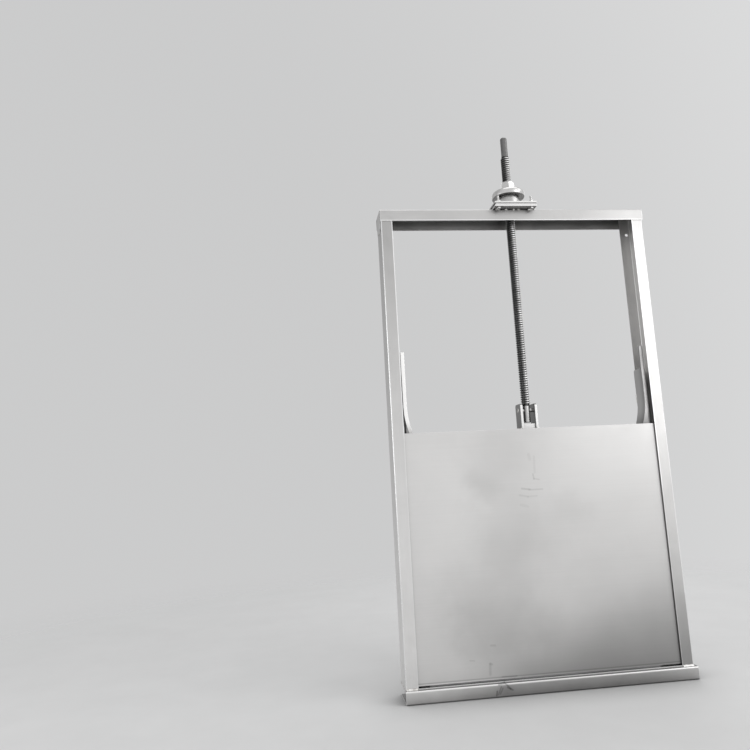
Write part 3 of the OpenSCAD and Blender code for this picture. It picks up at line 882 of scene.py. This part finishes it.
def add_thread(bm, x, y, start, end, radius, depth, pitch, steps_a_turn):
    """Adds the surface of a screw thread about a vertical axis, fading out at both ends."""
    root = radius - depth
    steps = int((end - start) / pitch * steps_a_turn)
    fade_steps = FADE_TURNS * steps_a_turn
    rows = []
    for i in range(steps + 1):
        angle = 2 * math.pi * i / steps_a_turn
        base = start + pitch * i / steps_a_turn
        fade = min(1.0, i / fade_steps, (steps - i) / fade_steps)
        row = []
        for along, out in THREAD_FORM:
            reach = root + depth * out * fade
            place = (x + reach * math.cos(angle), y + reach * math.sin(angle), base + along * pitch)
            row.append(bm.verts.new(place))
        rows.append(row)
    for i in range(steps):
        a, b = rows[i], rows[i + 1]
        for k in range(len(THREAD_FORM) - 1):
            bm.faces.new((a[k], b[k], b[k + 1], a[k + 1]))
        if i + steps_a_turn + 1 <= steps:
            c, d = rows[i + steps_a_turn], rows[i + steps_a_turn + 1]
            bm.faces.new((a[-1], b[-1], d[0], c[0]))


def add_turned(bm, x, y, profile, steps=48):
    """Adds a solid of revolution about a vertical axis, from its (radius, z) points."""
    turns = [2 * math.pi * k / steps for k in range(steps)]
    rings = []
    for r, z in profile:
        points = [(x + r * math.cos(a), y + r * math.sin(a), z) for a in turns]
        rings.append([bm.verts.new(point) for point in (points if r > 0 else [(x, y, z)])])
    for lower, upper in zip(rings, rings[1:]):
        for k in range(steps):
            n = (k + 1) % steps
            if len(lower) == 1:
                bm.faces.new((lower[0], upper[n], upper[k]))
            elif len(upper) == 1:
                bm.faces.new((lower[k], lower[n], upper[0]))
            else:
                bm.faces.new((lower[k], lower[n], upper[n], upper[k]))


def stem_pieces():
    """The screw, and the stem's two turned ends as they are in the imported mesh."""
    low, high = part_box("stem")
    x, y = (low.x + high.x) / 2, (low.y + high.y) / 2
    radius = (high.x - low.x) / 2
    root = radius - THREAD_DEPTH
    collar = root + COLLAR_PROUD
    start = low.z + TURNED_FOOT
    top = high.z - TURNED_TOP
    bm = bmesh.new()
    add_thread(bm, x, y, start + THREAD_FROM_FOOT, top - THREAD_FROM_TOP, radius, THREAD_DEPTH,
               THREAD_PITCH, THREAD_STEPS)
    for end, inward in ((start, 1), (top, -1)):
        inner = end + inward * COLLAR_LENGTH
        foot = [(0.0, end), (root - CHAMFER, end), (collar, end + inward * 2 * CHAMFER),
                (collar, inner), (0.0, inner)]
        add_turned(bm, x, y, foot[::inward])
    screw = piece_from(bm, "stem_screw", "leaf", MATERIALS["stem_steel"],
                       THREAD_ANGLE)
    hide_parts("stem")
    for name, turned, material in (
        ("stem_turned_foot", kept_part("stem", start), STEM_FOOT),
        ("stem_turned_top", kept_part("stem", top, upper=True), STEM_HEAD),
    ):
        end = piece_from(turned, name, "leaf", material, SOLID_ANGLE)
        ease(end, SHEET_EDGE)
        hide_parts("stem")


def add_hexagon(bm, x, y, z, across_flats, height, turned):
    """Adds a hexagon nut with chamfered corners, standing on z."""
    corner = across_flats / 2 / math.cos(math.pi / 6)
    angles = [turned + math.pi / 3 * k for k in range(6)]
    rings = []
    for level, share in NUT_FORM:
        r = corner * share
        rings.append([
            bm.verts.new((x + r * math.cos(a), y + r * math.sin(a), z + level * height))
            for a in angles
        ])
    for lower, upper in zip(rings, rings[1:]):
        for k in range(6):
            n = (k + 1) % 6
            bm.faces.new((lower[k], lower[n], upper[n], upper[k]))
    bm.faces.new(list(reversed(rings[0])))
    bm.faces.new(rings[-1])


def plate_bolt_pieces():
    """The plate bolts' heads and shanks, and above the plates their threads, nuts and washers."""
    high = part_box("plate_bolts")[1]
    plate_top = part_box("bearing_base_plate")[1].z
    stem_low, stem_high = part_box("stem")
    axis_y = (stem_low.y + stem_high.y) / 2
    head_r = BOLT_NUT_AF / 2 / math.cos(math.pi / 6)
    reach_x = high.x - head_r
    reach_y = high.y - BOLT_NUT_AF / 2 - axis_y
    root = BOLT_RADIUS - BOLT_DEPTH
    thread_top = high.z - CHAMFER
    washer_top = plate_top + WASHER_T
    core = [(0.0, plate_top), (root, plate_top), (root, thread_top), (root - CHAMFER, high.z),
            (0.0, high.z)]
    washer = [(0.0, plate_top), (WASHER_R, plate_top), (WASHER_R, washer_top), (0.0, washer_top)]
    bolt_steel = MATERIALS["bolt_steel"]
    shanks = piece_from(kept_part("plate_bolts", plate_top), "plate_bolt_heads", "frame",
                        bolt_steel, SOLID_ANGLE)
    ease(shanks, SHEET_EDGE)
    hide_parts("plate_bolts")
    threads = bmesh.new()
    nuts = bmesh.new()
    for side_x in (-1, 1):
        for side_y in (-1, 1):
            x, y = side_x * reach_x, axis_y + side_y * reach_y
            add_thread(threads, x, y, plate_top, thread_top, BOLT_RADIUS, BOLT_DEPTH, BOLT_PITCH,
                       BOLT_STEPS)
            add_turned(threads, x, y, core, BOLT_STEPS)
            add_turned(nuts, x, y, washer, WASHER_STEPS)
            add_hexagon(nuts, x, y, washer_top, BOLT_NUT_AF, BOLT_NUT_H,
                        turned=0.3 * side_x + 0.2 * side_y)
    ends = piece_from(threads, "plate_bolt_threads", "frame", BOLT_THREAD,
                      THREAD_ANGLE)
    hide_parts("plate_bolts")
    piece_from(nuts, "plate_bolt_nuts", "frame", bolt_steel, NUT_ANGLE)


# Weld beads, each as its stations and its leg

FRONT, BACK, UP, DOWN, RIGHT = (0, -1, 0), (0, 1, 0), (0, 0, 1), (0, 0, -1), (1, 0, 0)
SIDES = (("left", -1), ("right", 1))


def straight(start, end, side_a, side_b):
    """Stations along a straight corner between the directions side_a and side_b."""
    start, end = Vector(start), Vector(end)
    count = max(8, int((end - start).length / (RIPPLE / STATIONS_A_RIPPLE)))
    side_a, side_b = Vector(side_a).normalized(), Vector(side_b).normalized()
    return [(start.lerp(end, i / count), side_a, side_b) for i in range(count + 1)]


def stitches(start, end, side_a, side_b, every):
    """Short beads at even distances along a corner."""
    start, end = Vector(start), Vector(end)
    whole = (end - start).length
    along = (end - start) / whole
    count = max(1, int(whole / every))
    room = whole / count
    beads = []
    for i in range(count):
        at = start + along * (room * (i + 0.5) - STITCH / 2)
        beads.append((straight(at, at + along * STITCH, side_a, side_b), LEG["stitch"]))
    return beads


def ring(centre, radius, axis, start_side):
    """Stations around a round piece's end, where it comes out of a face that looks along axis."""
    axis, start_side = Vector(axis).normalized(), Vector(start_side).normalized()
    other = axis.cross(start_side)
    count = int(2 * math.pi * radius / (RIPPLE / STATIONS_A_RIPPLE))
    stations = []
    for i in range(count + 1):
        a = 2 * math.pi * i / count
        out = start_side * math.cos(a) + other * math.sin(a)
        stations.append((Vector(centre) + out * radius, out, axis))
    return stations


def add_bead(bm, stations, leg):
    """A fillet weld: a rippled crown from side to side of the corner, tapered at its ends."""
    rows = []
    total = len(stations)
    for i, (point, side_a, side_b) in enumerate(stations):
        along = (stations[min(i + 1, total - 1)][0] - stations[max(i - 1, 0)][0]).normalized()
        phase = (i / STATIONS_A_RIPPLE) % 1.0
        wander = math.sin(0.31 * i + 1.7 * math.sin(0.083 * i))
        bulge = 1.0 + RIPPLE_RISE * (1 - phase) + WANDER * wander
        taper = min(1.0, 0.35 + 0.22 * min(i, total - 1 - i))
        size = leg * bulge * taper
        row = [bm.verts.new(point)]
        for k in range(ARC_POINTS):
            a = math.pi / 2 * k / (ARC_POINTS - 1)
            crown = size * (0.84 + 0.16 * abs(math.cos(2 * a)))
            lag = along * (-0.35 * RIPPLE * math.sin(2 * a))
            out = side_a * (crown * math.cos(a)) + side_b * (crown * math.sin(a))
            row.append(bm.verts.new(point + lag + out))
        rows.append(row)
    faces = []
    for a, b in zip(rows, rows[1:]):
        for k in range(ARC_POINTS + 1):
            n = (k + 1) % (ARC_POINTS + 1)
            faces.append(bm.faces.new((a[k], a[n], b[n], b[k])))
    faces.append(bm.faces.new(rows[0]))
    faces.append(bm.faces.new(list(reversed(rows[-1]))))
    bmesh.ops.recalc_face_normals(bm, faces=faces)


def weld_piece(name, body, beads):
    bm = bmesh.new()
    for stations, leg in beads:
        add_bead(bm, stations, leg)
    piece_from(bm, name, body, WELD, BEAD_ANGLE)


def on_both_sides(welds):
    return [bead for tag, side in SIDES for bead in welds(tag, side)]


def foot_welds(tag, side):
    """Around a post's foot, where it stands on the sill."""
    low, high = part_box(tag + "_post")
    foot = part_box("sill_beam")[1].z
    outer = high.x if side > 0 else low.x
    near, far = low.y + CORNER_INSET, high.y - CORNER_INSET
    return [
        (straight((low.x, low.y, foot), (high.x, low.y, foot), FRONT, UP), LEG["foot_front"]),
        (straight((outer, near, foot), (outer, far, foot), (side, 0, 0), UP), LEG["foot_" + tag]),
        (straight((low.x, high.y, foot), (high.x, high.y, foot), BACK, UP), LEG["foot_back"]),
    ]


def cap_welds(tag, side):
    """Under the beam's lips and along its flap, on one post."""
    low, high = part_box(tag + "_post")
    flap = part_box("top_beam")[0].z
    left, right = low.x + CORNER_INSET, high.x - CORNER_INSET
    outer = high.x if side > 0 else low.x
    near, far = low.y + FLAP_INSET, high.y - FLAP_INSET
    lips = [
        (straight((left, y, LIP_EDGE), (right, y, LIP_EDGE), outward, DOWN), LEG["lip"])
        for y, outward in ((low.y, FRONT), (high.y, BACK))
    ]
    run = straight((outer, near, flap), (outer, far, flap), (side, 0, 0), DOWN)
    return lips + [(run, LEG["flap"])]


def rail_welds(tag, side):
    """Stitches that hold the backing plate to the post and the rail to the backing plate."""
    low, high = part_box(tag + "_rail_backing")
    rail_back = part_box(tag + "_guide_rail")[1].y
    x, y = low.x if side > 0 else high.x, high.y - SHEET
    inward = (-side, 0, 0)
    on_post = stitches((x, y, low.z), (x, y, high.z), inward, FRONT, every=0.21)
    return on_post + stitches((x, rail_back, RAIL_WELD_FOOT), (x, rail_back, high.z), inward, BACK,
                              every=0.07)


def plate_welds():
    """Blobs and runs that hold the lower plate to the beam."""
    low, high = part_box("beam_pad_plate")
    beam_low, beam_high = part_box("top_beam")
    front = beam_low.y + SHEET / 2
    z = beam_high.z - BLOB_DROP
    beads = []
    for x, run, leg in PLATE_BLOBS:
        for way, share in ((UP, 0.4), (DOWN, 1.0)):
            stations = straight((x, front, z), (x + run, front, z), FRONT, way)
            beads.append((stations, leg * share))
    near, far = PLATE_RUN
    for side, edge in ((-1, low.x), (1, high.x)):
        run = straight((edge, near, beam_high.z), (edge, far, beam_high.z), (side, 0, 0), UP)
        beads.append((run, LEG["plate_side"]))
    return beads


def housing_weld():
    """Around the housing's foot on the upper plate."""
    low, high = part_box("nut_housing")
    centre = ((low.x + high.x) / 2, (low.y + high.y) / 2, low.z)
    return [(ring(centre, (high.x - low.x) / 2, UP, RIGHT), LEG["housing"])]


def leaf_welds():
    """Stitches between the skin and what stiffens it, seen from behind."""
    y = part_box("leaf_skin")[1].y
    beads = []
    for tag in ("upper", "middle", "lower"):
        low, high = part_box(tag + "_leaf_rib")
        for start, end in ((low.x, -LUG_GAP), (LUG_GAP, high.x)):
            beads += stitches((start, y, high.z), (end, y, high.z), BACK, UP, every=0.15)
    for tag, side in SIDES:
        for box, outward in (
            (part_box(tag + "_leaf_side"), -side),
            (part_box(tag + "_lug_rib"), side),
        ):
            low, high = box
            x = high.x if outward > 0 else low.x
            beads += stitches((x, y, low.z), (x, y, high.z), BACK, (outward, 0, 0), every=0.17)
    return beads


def lug_welds(tag, side):
    """At a lug's foot and around the pin's end."""
    low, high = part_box(tag + "_lug")
    outer = high.x if side > 0 else low.x
    outward = (side, 0, 0)
    pin_low, pin_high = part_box("cross_pin")
    pin_r = (pin_high.z - pin_low.z) / 2
    centre = (outer, (pin_low.y + pin_high.y) / 2, (pin_low.z + pin_high.z) / 2)
    return [
        (straight((outer, low.y, low.z), (outer, high.y, low.z), outward, UP), LEG["lug_foot"]),
        (straight((low.x, low.y, low.z), (high.x, low.y, low.z), FRONT, UP), LEG["lug_front"]),
        (ring(centre, pin_r - CHAMFER, outward, UP), LEG["pin"]),
    ]


# The pieces

EDGE_WIDTH = {
    "frame_sheet": SHEET_EDGE, "leaf_sheet": SHEET_EDGE, "rail_steel": BAR_EDGE,
    "lug_steel": BAR_EDGE, "machined_steel": BAR_EDGE, "bolt_steel": SHEET_EDGE,
    "seal_rubber": SHEET_EDGE, "slide_plastic": MOULDED_EDGE,
}
for node in sorted(NODES):
    NODES[node].data.materials.clear()
    NODES[node].data.materials.append(material_of(node))
    if node not in ("stem", "plate_bolts"):
        eased(node, EDGE_WIDTH[SLOT_OF[node]])
stem_pieces()
plate_bolt_pieces()
weld_piece("post_foot_welds", "frame", on_both_sides(foot_welds))
weld_piece("beam_cap_welds", "frame", on_both_sides(cap_welds))
weld_piece("rail_welds", "frame", on_both_sides(rail_welds))
weld_piece("plate_welds", "frame", plate_welds() + housing_weld())
weld_piece("leaf_welds", "leaf", leaf_welds())
weld_piece("lug_welds", "leaf", on_both_sides(lug_welds))


# Stage

def floor():
    """A pale floor whose far part thins out, so that it runs into the backdrop."""
    material, tree, shader, coords = new_material("floor")
    tone = noise(tree, coords, 3.0, detail=6.0, rough=0.6)
    tone = remap(tree, tone, 0.3, 0.7, 0.60, 0.63)
    # Painted contact shadow on the floor around the gate's foot.
    shaded = times(tree, tone, hollow_shade(tree, 0.22, 0.45))
    link(tree, tinted(tree, shaded, 0.0), shader.inputs["Base Color"])
    shader.inputs["Roughness"].default_value = 0.75
    shader.inputs["Specular IOR Level"].default_value = 0.2
    clear = add_node(tree, "ShaderNodeBsdfTransparent")
    mix = add_node(tree, "ShaderNodeMixShader")
    link(tree, remap(tree, length(tree, coords), *FLOOR_FADE, 0.0, 1.0, smooth=True), mix.inputs[0])
    link(tree, shader.outputs[0], mix.inputs[1])
    link(tree, clear.outputs[0], mix.inputs[2])
    link(tree, mix.outputs[0], tree.nodes["Material Output"].inputs["Surface"])
    bm = bmesh.new()
    bmesh.ops.create_circle(bm, cap_ends=True, segments=FLOOR_STEPS, radius=FLOOR_RADIUS)
    made = mesh_object(bm, "floor", material)
    made.location = (0, 0, FLOOR_Z)


def world():
    """A pale studio that brightens from behind the gate to before it."""
    made = bpy.data.worlds.new("studio")
    bpy.context.scene.world = made
    made.use_nodes = True
    tree = made.node_tree
    tree.nodes.clear()
    output = add_node(tree, "ShaderNodeOutputWorld")
    direction = add_node(tree, "ShaderNodeTexCoord").outputs["Generated"]
    forward = vector(tree, "DOT_PRODUCT", direction, STUDIO_TOWARDS, "Value")
    level = remap(tree, forward, -0.8, 0.8, STUDIO_BEHIND, STUDIO_BEFORE, smooth=True)
    background = add_node(tree, "ShaderNodeBackground")
    link(tree, tinted(tree, level, -0.003), background.inputs["Color"])
    link(tree, background.outputs[0], output.inputs["Surface"])


def area_light(name, at, size, radiance, aim=(0, 0, 1.1)):
    """A soft light of that size whose face is radiance times as bright as white."""
    data = bpy.data.lights.new(name, "AREA")
    data.shape = "RECTANGLE"
    data.size, data.size_y = size
    data.energy = radiance * math.pi * size[0] * size[1]
    made = new_object(name, data)
    made.location = at
    made.rotation_euler = (Vector(aim) - Vector(at)).to_track_quat("-Z", "Y").to_euler()
    made.visible_camera = False


def camera():
    data = bpy.data.cameras.new("camera")
    data.sensor_width = SENSOR_MM
    data.lens = FOCAL_PIXELS / FRAME_PIXELS * SENSOR_MM
    made = new_object("camera", data)
    forward = Vector((
        math.sin(CAMERA_HEADING) * math.cos(CAMERA_PITCH),
        math.cos(CAMERA_HEADING) * math.cos(CAMERA_PITCH),
        math.sin(CAMERA_PITCH),
    ))
    level = forward.cross(Vector(UP)).normalized()
    upright = level.cross(forward)
    right = level * math.cos(CAMERA_ROLL) + upright * math.sin(CAMERA_ROLL)
    up = right.cross(forward)
    turn = Matrix((right, up, -forward)).transposed().to_4x4()
    made.matrix_world = Matrix.Translation(CAMERA_AT) @ turn
    bpy.context.scene.camera = made


floor()
world()
camera()
area_light("key", at=(3.2, -2.9, 2.4), size=(2.6, 2.8), radiance=1.8)
area_light("high_right", at=(3.2, -1.0, 4.2), size=(1.5, 1.5), radiance=1.55, aim=(0, 0, 2.0))
area_light("left_strip", at=(-4.4, -0.9, 1.65), size=(1.4, 2.1), radiance=2.2, aim=(0, 0, 1.0))
area_light("top", at=(0.3, -0.4, 4.6), size=(3.0, 2.0), radiance=1.3)
area_light("back", at=(1.5, 3.6, 2.8), size=(2.6, 2.6), radiance=1.2)
bpy.context.scene.view_settings.view_transform = "Standard"
